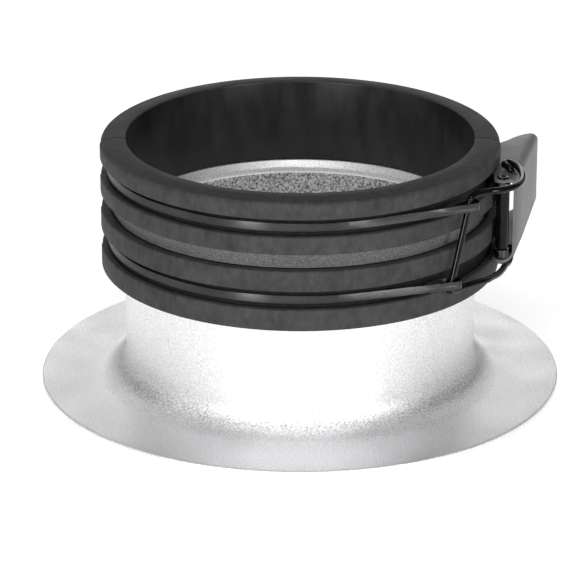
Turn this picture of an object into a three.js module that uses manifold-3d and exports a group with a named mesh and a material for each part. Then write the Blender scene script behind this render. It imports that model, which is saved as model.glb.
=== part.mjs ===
// Mounting ring that joins a softbox or reflector to a studio flash head.
// A spun aluminium tube with a wide flat flange carries a ribbed rubber collar in two halves.
// Two flat steel bands lie in the collar's grooves: the lower one grips the collar on the tube,
// the upper one squeezes it onto the flash head. One over-centre lever with a wire bail
// tightens both bands at once.
// Millimetres, +Z up, origin at the centre of the flange's underside, latch on the +X side.
// Azimuths are in degrees: 0 is the front (-Y), 90 is the right (+X).

import * as THREE from 'three';
import { mergeVertices } from 'three/addons/utils/BufferGeometryUtils.js';
import Module from 'manifold-3d';

const wasm = await Module();
wasm.setup();

// ---- driving dimensions ----------------------------------------------------------------

const RING_SEGMENTS = 60;

const FLANGE_RADIUS = 75.6;
const FLANGE_THICKNESS = 2.3;
const FLANGE_EDGE_ROUND = 0.5;
const TUBE_RADIUS = 50.8;
const TUBE_WALL = 2;
const TUBE_TOP = 49.3;
const FILLET_RADIUS = 8;
const LIP_RADIUS = 51.5;
const LIP_HEIGHT = 3.3;
const LIP_INNER_RADIUS = 48.4;

const COLLAR_RADIUS = 57.2;
const COLLAR_BOTTOM = 36.2;
const COLLAR_TOP = 74.2;
const COLLAR_SHOULDER_TOP = 73.4;
const COLLAR_LAND_RADIUS = 52.4;
const COLLAR_HEAD_BORE = 49.9;
const COLLAR_BOTTOM_ROUND = 0.3;
const COLLAR_RIB_ROUND = 0.7;
const COLLAR_SHOULDER_ROUND = 1.4;
const COLLAR_SEAM_Y = -3.4;
const TOUCH_GAP = 0.3;
const BAND_GROOVE_FLOOR = 54.7;
const OPEN_GROOVE_FLOOR = 54;
const GROOVES = [
  { low: 42.4, high: 47.7, floor: BAND_GROOVE_FLOOR },
  { low: 53.7, high: 58.5, floor: OPEN_GROOVE_FLOOR },
  { low: 63.6, high: 68.6, floor: BAND_GROOVE_FLOOR },
];

const BAND_RADIUS = 55.3;
const BAND_THICKNESS = 0.6;
const BAND_WIDTH = 2.4;
const UPPER_BAND_Z = 66;
const LOWER_BAND_Z = 44.9;
const UPPER_BAND_REAR_DROP = 1;
const FOLD_GAP = 0.3;

const PIN = new THREE.Vector2(57.3, -18.3);
const PIN_RADIUS = 1.1;
const PIN_HOLE_IN_TOP = 0.7;
const PIN_HEAD_RADIUS = 1.7;
const PIN_HEAD_HEIGHT = 0.3;
const SLEEVE_RADIUS = 1.9;
const REAR_EYE_RADIUS = 1.8;
const REAR_FOLD_LENGTH = 7;

const BAIL_PIVOT = new THREE.Vector2(60.2, -13.3);
const WIRE_RADIUS = 0.95;
const LEG_RADIUS_FROM_AXIS = 60.2;
const LEG_UPPER_AZIMUTH = 51;
const LEG_LOWER_AZIMUTH = 44.1;
const FRONT_EYE_HALF_WIDTH = 1.75;
const FRONT_EYE_NOSE = 0.9;
const FRONT_EYE_SLOT = 3.2;
const FRONT_FOLD_LENGTH = 8.5;
const UPPER_FLEX_AZIMUTH = 18.8;
const LOWER_FLEX_AZIMUTH = 15.8;

const LEVER_TOP = 67.3;
const LEVER_BOTTOM = 42.5;
const LEVER_TIP_RISE = 2.2;
const LEVER_RISE_START = 14;
const LEVER_SHEET = 0.8;
const LEVER_BEND = 2.6;
const LEVER_FRONT = new THREE.Vector2(61.3, -17.4);
const LEVER_SPLAY = 12.2;
const LEVER_LENGTH = 40.5;
const LEVER_TIP_ROUND = 1.4;
const LEVER_COLLAR_CLEARANCE_RADIUS = 58.3;
const LEVER_GROOVE_CLEARANCE_RADIUS = 56.2;
const EAR_RADIUS = 2.6;

// ---- small geometry helpers ------------------------------------------------------------

const radians = THREE.MathUtils.degToRad;

function polar(radius, azimuth) {
  const angle = radians(azimuth);
  return new THREE.Vector2(radius * Math.sin(angle), -radius * Math.cos(angle));
}

function outward(azimuth) {
  return polar(1, azimuth);
}

function along(azimuth) {
  return polar(1, azimuth + 90);
}

function offsetPoint(origin, direction, distance) {
  return origin.clone().addScaledVector(direction, distance);
}

function arcPoints(centre, radiusX, radiusY, fromDegrees, toDegrees, steps) {
  const points = [];
  for (let i = 0; i <= steps; i += 1) {
    const angle = radians(fromDegrees + ((toDegrees - fromDegrees) * i) / steps);
    points.push(new THREE.Vector2(
      centre.x + radiusX * Math.cos(angle),
      centre.y + radiusY * Math.sin(angle),
    ));
  }
  return points;
}

// Revolves a closed outline of (radius, height) points about the Z axis.
function revolve(outline) {
  const closed = [...outline, outline[0].clone()];
  const geometry = new THREE.LatheGeometry(closed, RING_SEGMENTS);
  return geometry.rotateX(Math.PI / 2);
}

function extrudeUp(shape, low, high, curveSegments = 16) {
  const settings = { depth: high - low, bevelEnabled: false, curveSegments };
  return new THREE.ExtrudeGeometry(shape, settings).translate(0, 0, low);
}

function cylinderUp(centre, radius, low, high, sides = 24) {
  const geometry = new THREE.CylinderGeometry(radius, radius, high - low, sides);
  return geometry.rotateX(Math.PI / 2).translate(centre.x, centre.y, (low + high) / 2);
}

function boxBetween(low, high) {
  const size = high.clone().sub(low);
  const middle = low.clone().add(high).multiplyScalar(0.5);
  return new THREE.BoxGeometry(size.x, size.y, size.z).translate(middle.x, middle.y, middle.z);
}

function toSolid(geometry) {
  const bare = geometry.clone();
  bare.deleteAttribute('normal');
  bare.deleteAttribute('uv');
  const merged = mergeVertices(bare, 1e-4);
  return new wasm.Manifold(new wasm.Mesh({
    numProp: 3,
    vertProperties: new Float32Array(merged.attributes.position.array),
    triVerts: new Uint32Array(merged.index.array),
  }));
}

function toGeometry(solid) {
  const mesh = solid.getMesh();
  const geometry = new THREE.BufferGeometry();
  geometry.setAttribute('position', new THREE.BufferAttribute(mesh.vertProperties, 3));
  geometry.setIndex(new THREE.BufferAttribute(mesh.triVerts, 1));
  geometry.computeVertexNormals();
  return geometry;
}

function namedMesh(name, geometry, color, roughness, metalness) {
  const material = new THREE.MeshStandardMaterial({ color, roughness, metalness });
  const mesh = new THREE.Mesh(geometry, material);
  mesh.name = name;
  return mesh;
}

// ---- flanged tube ----------------------------------------------------------------------

function makeFlangeTube() {
  const filletCentre = new THREE.Vector2(TUBE_RADIUS + FILLET_RADIUS, FLANGE_THICKNESS + FILLET_RADIUS);
  const innerRadius = TUBE_RADIUS - TUBE_WALL;
  const edge = FLANGE_EDGE_ROUND;
  const lipRound = (LIP_RADIUS - LIP_INNER_RADIUS) / 2;
  const lipMiddle = new THREE.Vector2((LIP_RADIUS + LIP_INNER_RADIUS) / 2, TUBE_TOP - lipRound);
  const outline = [
    ...arcPoints(new THREE.Vector2(FLANGE_RADIUS - edge, edge), edge, edge, -90, 0, 2),
    ...arcPoints(new THREE.Vector2(FLANGE_RADIUS - edge, FLANGE_THICKNESS - edge), edge, edge, 0, 90, 2),
    ...arcPoints(filletCentre, FILLET_RADIUS, FILLET_RADIUS, 270, 180, 6),
    new THREE.Vector2(TUBE_RADIUS, TUBE_TOP - LIP_HEIGHT - 0.4),
    new THREE.Vector2(LIP_RADIUS, TUBE_TOP - LIP_HEIGHT),
    ...arcPoints(lipMiddle, lipRound, lipRound, 0, 180, 6),
    new THREE.Vector2(LIP_INNER_RADIUS, TUBE_TOP - LIP_HEIGHT),
    new THREE.Vector2(innerRadius, TUBE_TOP - LIP_HEIGHT - 0.6),
    ...arcPoints(filletCentre, filletCentre.x - innerRadius, filletCentre.y, 180, 270, 6),
  ];
  return namedMesh('flange_tube', revolve(outline), 0xc9cacb, 0.45, 1);
}

// ---- rubber collar ---------------------------------------------------------------------

function collarOutline() {
  const tubeBore = TUBE_RADIUS + TOUCH_GAP;
  const lipBore = LIP_RADIUS + TOUCH_GAP;
  const lipBottom = TUBE_TOP - LIP_HEIGHT - 0.4 - TOUCH_GAP;
  const outline = [new THREE.Vector2(tubeBore, COLLAR_BOTTOM)];
  const addRib = (low, high, lowRound, highRound) => {
    const lower = new THREE.Vector2(COLLAR_RADIUS - lowRound, low + lowRound);
    const upper = new THREE.Vector2(COLLAR_RADIUS - highRound, high - highRound);
    outline.push(...arcPoints(lower, lowRound, lowRound, -90, 0, 2));
    outline.push(...arcPoints(upper, highRound, highRound, 0, 90, 3));
  };
  let ribLow = COLLAR_BOTTOM;
  let lowRound = COLLAR_BOTTOM_ROUND;
  for (const groove of GROOVES) {
    addRib(ribLow, groove.low, lowRound, COLLAR_RIB_ROUND);
    outline.push(new THREE.Vector2(groove.floor, groove.low));
    outline.push(new THREE.Vector2(groove.floor, groove.high));
    ribLow = groove.high;
    lowRound = COLLAR_RIB_ROUND;
  }
  addRib(ribLow, COLLAR_SHOULDER_TOP, lowRound, COLLAR_SHOULDER_ROUND);
  outline.push(
    new THREE.Vector2(COLLAR_LAND_RADIUS, COLLAR_TOP),
    new THREE.Vector2(COLLAR_HEAD_BORE + 0.5, COLLAR_TOP),
    new THREE.Vector2(COLLAR_HEAD_BORE, COLLAR_TOP - 0.5),
    new THREE.Vector2(COLLAR_HEAD_BORE, TUBE_TOP + TOUCH_GAP),
    new THREE.Vector2(lipBore, TUBE_TOP + TOUCH_GAP),
    new THREE.Vector2(lipBore, lipBottom),
    new THREE.Vector2(tubeBore, lipBottom),
  );
  return outline;
}

function makeCollarHalves() {
  const ring = toSolid(revolve(collarOutline()));
  const reach = COLLAR_RADIUS + 1;
  const halves = [
    { name: 'collar_front', fromY: -reach, toY: COLLAR_SEAM_Y - TOUCH_GAP / 2 },
    { name: 'collar_back', fromY: COLLAR_SEAM_Y + TOUCH_GAP / 2, toY: reach },
  ];
  return halves.map(({ name, fromY, toY }) => {
    const low = new THREE.Vector3(-reach, fromY, COLLAR_BOTTOM - 1);
    const high = new THREE.Vector3(reach, toY, COLLAR_TOP + 1);
    const half = ring.intersect(toSolid(boxBetween(low, high)));
    return namedMesh(name, toGeometry(half), 0x2c2c2e, 0.8, 0);
  });
}

// ---- clamping bands --------------------------------------------------------------------

// A flat strip standing on edge: the plan centre line, thickened to both sides and drawn up.
function makeStrip(centreLine, middleZ) {
  const left = [];
  const right = [];
  centreLine.forEach((point, i) => {
    const before = centreLine[Math.max(i - 1, 0)];
    const after = centreLine[Math.min(i + 1, centreLine.length - 1)];
    const direction = after.clone().sub(before).normalize();
    const side = new THREE.Vector2(-direction.y, direction.x);
    left.push(offsetPoint(point, side, BAND_THICKNESS / 2));
    right.push(offsetPoint(point, side, -BAND_THICKNESS / 2));
  });
  const shape = new THREE.Shape([...left, ...right.reverse()]);
  return extrudeUp(shape, middleZ - BAND_WIDTH / 2, middleZ + BAND_WIDTH / 2);
}

// Points of the groove circle from one azimuth to another, about one every 5 degrees.
function groovePoints(fromAzimuth, toAzimuth) {
  const steps = Math.max(2, Math.round(Math.abs(toAzimuth - fromAzimuth) / 5));
  const points = [];
  for (let i = 0; i <= steps; i += 1) {
    points.push(polar(BAND_RADIUS, fromAzimuth + ((toAzimuth - fromAzimuth) * i) / steps));
  }
  return points;
}

// Azimuth where a straight strip leaves the groove so that it passes a post at the given
// azimuth and distance from the axis, keeping the stated offset outside the post's centre.
function leavingAngle(postDistance, offset) {
  return THREE.MathUtils.radToDeg(Math.acos((BAND_RADIUS - offset) / postDistance));
}

function rearLeavingAzimuth() {
  const pinAzimuth = THREE.MathUtils.radToDeg(Math.atan2(PIN.x, -PIN.y));
  return pinAzimuth + leavingAngle(PIN.length(), REAR_EYE_RADIUS);
}

// Direction angle, in degrees, of a plan vector.
function heading(vector) {
  return THREE.MathUtils.radToDeg(Math.atan2(vector.y, vector.x));
}

// The long part of a band: from its flexing point round the front, left and back to the
// hinge pin, round the pin, and folded back against itself.
function mainBandLine(flexAzimuth) {
  const leaving = rearLeavingAzimuth();
  const normal = outward(leaving);
  const back = along(leaving);
  const grooveEnd = polar(BAND_RADIUS, leaving);
  const eyeStart = offsetPoint(PIN, normal, REAR_EYE_RADIUS);
  const foldEnd = offsetPoint(eyeStart, back, REAR_FOLD_LENGTH);
  foldEnd.addScaledVector(normal, -(BAND_THICKNESS + FOLD_GAP));
  const toFoldEnd = foldEnd.clone().sub(PIN);
  const tangentAngle = THREE.MathUtils.radToDeg(Math.acos(REAR_EYE_RADIUS / toFoldEnd.length()));
  const eyeFrom = heading(normal);
  const eyeTo = heading(toFoldEnd) + tangentAngle - 360;
  return [
    ...groovePoints(flexAzimuth - 0.2, leaving - 360),
    grooveEnd.clone().lerp(eyeStart, 0.25),
    grooveEnd.clone().lerp(eyeStart, 0.5),
    grooveEnd.clone().lerp(eyeStart, 0.75),
    ...arcPoints(PIN, REAR_EYE_RADIUS, REAR_EYE_RADIUS, eyeFrom, eyeTo, 14),
    foldEnd,
  ];
}

function legCentre(azimuth) {
  return polar(LEG_RADIUS_FROM_AXIS, azimuth);
}

// The short part of a band: from the flexing point to the long eye round the bail's leg.
function bandEndLine(flexAzimuth, legAzimuth) {
  const leaving = legAzimuth - leavingAngle(LEG_RADIUS_FROM_AXIS, FRONT_EYE_HALF_WIDTH);
  const normal = outward(leaving);
  const forward = along(leaving);
  const leg = legCentre(legAzimuth);
  const nose = offsetPoint(leg, forward, FRONT_EYE_NOSE);
  const slotBack = offsetPoint(offsetPoint(leg, forward, -FRONT_EYE_SLOT), normal, -FRONT_EYE_HALF_WIDTH);
  const foldEnd = offsetPoint(leg, forward, -FRONT_FOLD_LENGTH);
  foldEnd.addScaledVector(normal, FRONT_EYE_HALF_WIDTH - BAND_THICKNESS - FOLD_GAP);
  const noseAngle = heading(normal);
  return [
    ...groovePoints(flexAzimuth + 0.2, leaving),
    offsetPoint(foldEnd, normal, BAND_THICKNESS + FOLD_GAP),
    ...arcPoints(nose, FRONT_EYE_HALF_WIDTH, FRONT_EYE_HALF_WIDTH, noseAngle, noseAngle + 180, 10),
    slotBack,
    foldEnd,
  ];
}

// The upper band sinks a little in its groove round the back, to pass under the lever's top.
function lowerTheRear(geometry) {
  const position = geometry.attributes.position;
  for (let i = 0; i < position.count; i += 1) {
    const azimuth = THREE.MathUtils.radToDeg(Math.atan2(position.getX(i), -position.getY(i)));
    const travelled = azimuth > 60 ? 360 - azimuth : Math.max(0, -azimuth);
    const drop = UPPER_BAND_REAR_DROP * THREE.MathUtils.smoothstep(travelled, 110, 285);
    position.setZ(i, position.getZ(i) - drop);
  }
  return geometry;
}

function makeBands() {
  const steel = [0x232324, 0.35, 0.8];
  const upperMain = lowerTheRear(makeStrip(mainBandLine(UPPER_FLEX_AZIMUTH), UPPER_BAND_Z));
  const lowerMain = makeStrip(mainBandLine(LOWER_FLEX_AZIMUTH), LOWER_BAND_Z);
  const upperEnd = makeStrip(bandEndLine(UPPER_FLEX_AZIMUTH, LEG_UPPER_AZIMUTH), UPPER_BAND_Z);
  const lowerEnd = makeStrip(bandEndLine(LOWER_FLEX_AZIMUTH, LEG_LOWER_AZIMUTH), LOWER_BAND_Z);
  return [
    namedMesh('upper_band', upperMain, ...steel),
    namedMesh('lower_band', lowerMain, ...steel),
    namedMesh('upper_band_end', upperEnd, ...steel),
    namedMesh('lower_band_end', lowerEnd, ...steel),
  ];
}

// ---- hinge pin and sleeve --------------------------------------------------------------

function makeHingePin() {
  const flareBottom = LEVER_TOP + 0.2;
  const flareTop = flareBottom + PIN_HEAD_HEIGHT;
  const footTop = LEVER_BOTTOM - TOUCH_GAP;
  const footBottom = footTop - PIN_HEAD_HEIGHT;
  const shank = toSolid(cylinderUp(PIN, PIN_RADIUS, footBottom, flareTop));
  const foot = toSolid(cylinderUp(PIN, PIN_HEAD_RADIUS, footBottom, footTop));
  const flare = toSolid(cylinderUp(PIN, PIN_HEAD_RADIUS, flareBottom, flareTop));
  const hollow = toSolid(cylinderUp(PIN, PIN_HOLE_IN_TOP, LEVER_TOP - 2, LEVER_TOP + 1));
  const pin = shank.add(foot).add(flare).subtract(hollow);
  return namedMesh('hinge_pin', toGeometry(pin), 0x141415, 0.25, 0.8);
}

function makeHingeSleeve() {
  const lowerEyeTop = LOWER_BAND_Z + BAND_WIDTH / 2;
  const upperEyeBottom = UPPER_BAND_Z - UPPER_BAND_REAR_DROP - BAND_WIDTH / 2;
  const bodyLow = lowerEyeTop + TOUCH_GAP;
  const bodyHigh = upperEyeBottom - TOUCH_GAP;
  const body = toSolid(cylinderUp(PIN, SLEEVE_RADIUS, bodyLow, bodyHigh, 28));
  const bore = toSolid(cylinderUp(PIN, PIN_RADIUS + TOUCH_GAP, bodyLow - 1, bodyHigh + 1, 28));
  return namedMesh('hinge_sleeve', toGeometry(body.subtract(bore)), 0x161617, 0.2, 0.8);
}

// ---- lever -----------------------------------------------------------------------------

// Plan of one of the lever's two flanges: an ear round the hinge pin, an inner edge that
// follows the collar at the given radius, and a far edge that sweeps out to the tip.
function leverPlan(innerRadius) {
  const direction = polar(1, 180 - LEVER_SPLAY);
  const outer = new THREE.Vector2(-direction.y, direction.x).negate();
  const tip = offsetPoint(LEVER_FRONT, direction, LEVER_LENGTH);
  const spare = 3;
  const earFront = heading(outer) - 75;
  const earBack = earFront - 115;
  const shape = new THREE.Shape();
  const start = offsetPoint(LEVER_FRONT, outer, spare);
  shape.moveTo(start.x, start.y);
  shape.lineTo(LEVER_FRONT.x, LEVER_FRONT.y);
  for (const point of arcPoints(PIN, EAR_RADIUS, EAR_RADIUS, earFront, earBack, 10)) {
    shape.lineTo(point.x, point.y);
  }
  for (let azimuth = 76; azimuth <= 101; azimuth += 5) {
    const point = polar(innerRadius + (azimuth - 76) * 0.06, azimuth);
    shape.lineTo(point.x, point.y);
  }
  shape.splineThru([
    new THREE.Vector2(60.6, 14.9),
    new THREE.Vector2(63, 17.9),
    new THREE.Vector2(66, 20.4),
    tip.clone(),
  ]);
  const end = offsetPoint(tip, outer, spare);
  shape.lineTo(end.x, end.y);
  return shape;
}

// Cross-section of the folded sheet: depth from the outer face across, height up.
function leverSection() {
  const depth = 22;
  const inner = LEVER_BEND - LEVER_SHEET;
  const bends = [
    { y: LEVER_BOTTOM + LEVER_BEND, from: 180, to: 270 },
    { y: LEVER_TOP - LEVER_BEND, from: 90, to: 180 },
  ];
  const [low, high] = bends.map(({ y }) => new THREE.Vector2(LEVER_BEND, y));
  return new THREE.Shape([
    ...arcPoints(high, LEVER_BEND, LEVER_BEND, 90, 180, 5),
    ...arcPoints(low, LEVER_BEND, LEVER_BEND, 180, 270, 5),
    new THREE.Vector2(depth, LEVER_BOTTOM),
    new THREE.Vector2(depth, LEVER_BOTTOM + LEVER_SHEET),
    ...arcPoints(low, inner, inner, 270, 180, 5),
    ...arcPoints(high, inner, inner, 180, 90, 5),
    new THREE.Vector2(depth, LEVER_TOP - LEVER_SHEET),
    new THREE.Vector2(depth, LEVER_TOP),
  ]);
}

// The lever seen from outside, as (distance from its front edge, height): round tip corners.
function leverSide() {
  const round = LEVER_TIP_ROUND;
  const front = -8;
  const highTip = new THREE.Vector2(LEVER_LENGTH - round, LEVER_TOP - round);
  const lowTip = new THREE.Vector2(LEVER_LENGTH - round, LEVER_BOTTOM + LEVER_TIP_RISE + round);
  return new THREE.Shape([
    new THREE.Vector2(front, LEVER_BOTTOM - 1),
    new THREE.Vector2(0, LEVER_BOTTOM - 1),
    new THREE.Vector2(LEVER_LENGTH - round, LEVER_BOTTOM + LEVER_TIP_RISE - 0.5),
    ...arcPoints(lowTip, round, round, -80, 0, 5),
    ...arcPoints(highTip, round, round, 0, 90, 5),
    new THREE.Vector2(LEVER_LENGTH - round, LEVER_TOP + 1),
    new THREE.Vector2(front, LEVER_TOP + 1),
  ]);
}

// Turns (distance along the lever, depth behind its outer face, height) into the plan frame.
function placeAlongLever(geometry) {
  const direction = polar(1, 180 - LEVER_SPLAY);
  const inwardX = -direction.y;
  const inwardY = direction.x;
  const frame = new THREE.Matrix4().set(
    direction.x, inwardX, 0, LEVER_FRONT.x,
    direction.y, inwardY, 0, LEVER_FRONT.y,
    0, 0, 1, 0,
    0, 0, 0, 1,
  );
  return geometry.applyMatrix4(frame);
}

// Raises the lower edge beyond the hinge evenly towards the tip; the top flange stays level.
function taperTowardsTip(geometry) {
  const position = geometry.attributes.position;
  const height = LEVER_TOP - LEVER_BOTTOM;
  for (let i = 0; i < position.count; i += 1) {
    const beyond = Math.max(0, position.getX(i) - LEVER_RISE_START);
    const share = beyond / (LEVER_LENGTH - LEVER_RISE_START);
    const below = (LEVER_TOP - position.getZ(i)) / height;
    position.setZ(i, position.getZ(i) + LEVER_TIP_RISE * share * below);
  }
  return geometry;
}

function makeLever() {
  const reach = LEVER_LENGTH + 10;
  const settings = { depth: reach, steps: 10, bevelEnabled: false };
  const sheet = new THREE.ExtrudeGeometry(leverSection(), settings);
  // section (x, y) with z along the lever becomes (along, depth, height)
  sheet.applyMatrix4(new THREE.Matrix4().set(0, 0, 1, -8, 1, 0, 0, 0, 0, 1, 0, 0, 0, 0, 0, 1));
  const folded = toSolid(placeAlongLever(taperTowardsTip(sheet)));
  const side = new THREE.ExtrudeGeometry(leverSide(), { depth: 40, bevelEnabled: false });
  side.applyMatrix4(new THREE.Matrix4().set(1, 0, 0, 0, 0, 0, -1, 35, 0, 1, 0, 0, 0, 0, 0, 1));
  // the lower flange clears the collar's ribs, and the top one reaches into the upper groove
  const split = LEVER_TOP - LEVER_BEND;
  const lowPlan = extrudeUp(leverPlan(LEVER_COLLAR_CLEARANCE_RADIUS), LEVER_BOTTOM - 2, split);
  const highPlan = extrudeUp(leverPlan(LEVER_GROOVE_CLEARANCE_RADIUS), split, LEVER_TOP + 2);
  const plan = toSolid(lowPlan).add(toSolid(highPlan));
  const holes = [
    cylinderUp(PIN, PIN_RADIUS + TOUCH_GAP, LEVER_BOTTOM - 3, LEVER_TOP + 3),
    cylinderUp(BAIL_PIVOT, WIRE_RADIUS + TOUCH_GAP, LEVER_BOTTOM - 3, LEVER_TOP + 3),
  ];
  let lever = folded.intersect(plan).intersect(toSolid(placeAlongLever(side)));
  for (const hole of holes) {
    lever = lever.subtract(toSolid(hole));
  }
  return namedMesh('lever', toGeometry(lever), 0x77787a, 0.55, 0.2);
}

// ---- wire bail -------------------------------------------------------------------------

function raised(point, z) {
  return new THREE.Vector3(point.x, point.y, z);
}

// The wire: up through the lever's lower hole, along the lower arm, up the slanted leg that
// both bands hold, and along the upper arm, which bows out and curls back to the upper hole.
function bailPoints() {
  const legLow = raised(legCentre(LEG_LOWER_AZIMUTH - 0.5), LOWER_BAND_Z - 1.9);
  const legHigh = raised(legCentre(LEG_UPPER_AZIMUTH + 0.5), UPPER_BAND_Z + 1.9);
  const leg = [0, 0.04, 0.12, 0.4, 0.7, 0.88, 0.96, 1].map((share) => legLow.clone().lerp(legHigh, share));
  return [
    raised(BAIL_PIVOT, 45.4),
    raised(BAIL_PIVOT, 42),
    new THREE.Vector3(59.7, -14.5, 40.7),
    new THREE.Vector3(58.5, -17.6, 40.6),
    new THREE.Vector3(57.4, -21.5, 40.7),
    new THREE.Vector3(56, -25.2, 40.9),
    new THREE.Vector3(54.1, -28.8, 41.3),
    new THREE.Vector3(52.2, -32.2, 41.7),
    new THREE.Vector3(49, -35.3, 42),
    new THREE.Vector3(45.7, -38.3, 42.1),
    new THREE.Vector3(43.2, -41.2, 42.2),
    ...leg,
    new THREE.Vector3(48.6, -36.2, 68.7),
    new THREE.Vector3(52.2, -34.4, 68.9),
    new THREE.Vector3(56.3, -32.8, 68.9),
    new THREE.Vector3(59.7, -30.2, 68.9),
    new THREE.Vector3(61.8, -26.2, 68.9),
    new THREE.Vector3(62.6, -20.9, 68.9),
    new THREE.Vector3(62.1, -15.2, 68.9),
    new THREE.Vector3(60.7, -11, 68.9),
    new THREE.Vector3(58.9, -9.3, 68.8),
    new THREE.Vector3(58, -11, 68.7),
    new THREE.Vector3(59.4, -12.8, 68.3),
    raised(BAIL_PIVOT, 66.8),
    raised(BAIL_PIVOT, 64),
  ];
}

function makeBail() {
  const route = new THREE.CatmullRomCurve3(bailPoints(), false, 'centripetal');
  const section = new THREE.Shape();
  section.absarc(0, 0, WIRE_RADIUS, 0, 2 * Math.PI, false);
  const geometry = new THREE.ExtrudeGeometry(section, {
    steps: 72,
    curveSegments: 5,
    extrudePath: route,
  });
  return namedMesh('bail_wire', geometry, 0x0f0f10, 0.15, 0.9);
}

// ---- the ring --------------------------------------------------------------------------

const ring = new THREE.Group();
ring.add(makeFlangeTube());
ring.add(...makeCollarHalves());
ring.add(...makeBands());
ring.add(makeHingePin());
ring.add(makeHingeSleeve());
ring.add(makeLever());
ring.add(makeBail());

export default ring;
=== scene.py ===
"""Looks of a flash-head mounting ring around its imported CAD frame.

A spun aluminium flange and tube, a ribbed rubber collar in two halves, two steel bands and one
over-centre latch. Lengths are in millimetres and become metres when a mesh is made.
Azimuths are in degrees: 0 is the front (-Y), 90 is the right (+X).
"""

import math

import bmesh
import bpy
from mathutils import Matrix, Vector


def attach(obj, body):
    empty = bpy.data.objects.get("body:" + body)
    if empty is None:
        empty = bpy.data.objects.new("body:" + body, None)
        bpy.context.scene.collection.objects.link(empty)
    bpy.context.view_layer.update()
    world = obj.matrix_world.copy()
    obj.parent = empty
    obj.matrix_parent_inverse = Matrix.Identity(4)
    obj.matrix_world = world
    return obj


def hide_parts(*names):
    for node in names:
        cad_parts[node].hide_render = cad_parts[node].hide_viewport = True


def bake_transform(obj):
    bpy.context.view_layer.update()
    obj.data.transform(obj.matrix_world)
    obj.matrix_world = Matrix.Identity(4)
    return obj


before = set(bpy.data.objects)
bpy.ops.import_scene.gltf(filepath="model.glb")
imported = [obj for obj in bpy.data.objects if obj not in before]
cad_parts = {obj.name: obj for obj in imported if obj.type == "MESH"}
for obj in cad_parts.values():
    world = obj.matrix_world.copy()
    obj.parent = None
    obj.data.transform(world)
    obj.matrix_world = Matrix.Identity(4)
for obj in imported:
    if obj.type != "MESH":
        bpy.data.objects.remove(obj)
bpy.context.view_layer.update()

# ---- driving dimensions, as in the CAD ---------------------------------------------------

MM = 0.001

FLANGE_RADIUS = 75.6
FLANGE_THICKNESS = 2.3
TUBE_RADIUS = 50.8
TUBE_BORE = 48.8
TUBE_TOP = 49.3
FILLET_RADIUS = 8
LIP_RADIUS = 51.5
LIP_INNER_RADIUS = 48.4
LIP_BOTTOM = 46
LIP_SLOPE_WIDTH = 1.6
LIP_SLOPE_HEIGHT = 2

COLLAR_RADIUS = 57.2
COLLAR_BOTTOM = 36.2
COLLAR_TOP = 74.2
COLLAR_SHOULDER_TOP = 73.4
COLLAR_SHOULDER_ROUND = 1.4
COLLAR_LAND_RADIUS = 52.4
HEAD_BORE = 49.9
TUBE_SEAT = 51.1
LIP_SEAT = 51.8
LIP_SEAT_BOTTOM = 45.3
LIP_SEAT_TOP = 49.6
GROOVES = ((42.4, 47.7, 54.7), (53.7, 58.5, 54.0), (63.6, 68.6, 54.7))
SEAM_Y = -3.4
SEAM_GAP = 0.3
SEAM_ROUND = 0.3
SEAM_PROUD = 0.25
# how far out from a groove's floor its ledges carry painted shade
GROOVE_SHADE_DEPTH = 0.9
RIB_TOP_ROUND = 0.5
RIB_BOTTOM_ROUND = 0.35

BAND_RADIUS = 55.3
BAND_THICKNESS = 0.6
BAND_WIDTH = 2.4
UPPER_BAND_Z = 66
LOWER_BAND_Z = 44.9
UPPER_BAND_REAR_DROP = 1
FOLD_GAP = 0.3
REAR_EYE_RADIUS = 1.8
REAR_FOLD_LENGTH = 7
LEG_FROM_AXIS = 60.2
LEG_UPPER_AZIMUTH = 51
LEG_LOWER_AZIMUTH = 44.1
EYE_HALF_WIDTH = 1.75
EYE_NOSE = 0.9
EYE_SLOT = 3.2
FRONT_FOLD_LENGTH = 8.5
UPPER_FLEX_AZIMUTH = 18.8
LOWER_FLEX_AZIMUTH = 15.8
FLEX_TO_SPLIT = 5
WELD_BEHIND_UPPER_LEG = 1.6
WELD_BEHIND_LOWER_LEG = 3.6

PIN = Vector((57.3, -18.3))
PIN_RADIUS = 1.1
PIN_HOLE = 0.7
PIN_HEAD_RADIUS = 1.7
PIN_HEAD_HEIGHT = 0.3
PIN_FOOT_GAP = 0.3
PIN_HEAD_GAP = 0.2
PIN_HOLE_DEPTH = 2
SLEEVE_END_GAP = 0.3
SLEEVE_RADIUS = 1.9
SLEEVE_BORE = 1.4
BAIL_PIVOT = Vector((60.2, -13.3))
WIRE_RADIUS = 0.95

LEVER_TOP = 67.3
LEVER_BOTTOM = 42.5
LEVER_TIP_RISE = 2.2
LEVER_RISE_START = 14
LEVER_SHEET = 0.8
LEVER_BEND = 2.6
LEVER_FRONT = Vector((61.3, -17.4))
LEVER_SPLAY = 12.2
LEVER_LENGTH = 40.5
LEVER_TIP_ROUND = 1.4
LEVER_TIP_DROOP = 0.45
LEVER_HOLE_GAP = 0.3
LEVER_RIB_CLEARANCE_RADIUS = 58.3
LEVER_GROOVE_CLEARANCE_RADIUS = 56.2
EAR_RADIUS = 2.6

CAMERA_TARGET = Vector((-2.9, 0, 26.2))
CAMERA_DISTANCE = 972.5
CAMERA_ELEVATION = 21.29
CAMERA_LENS = 206.9

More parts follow.
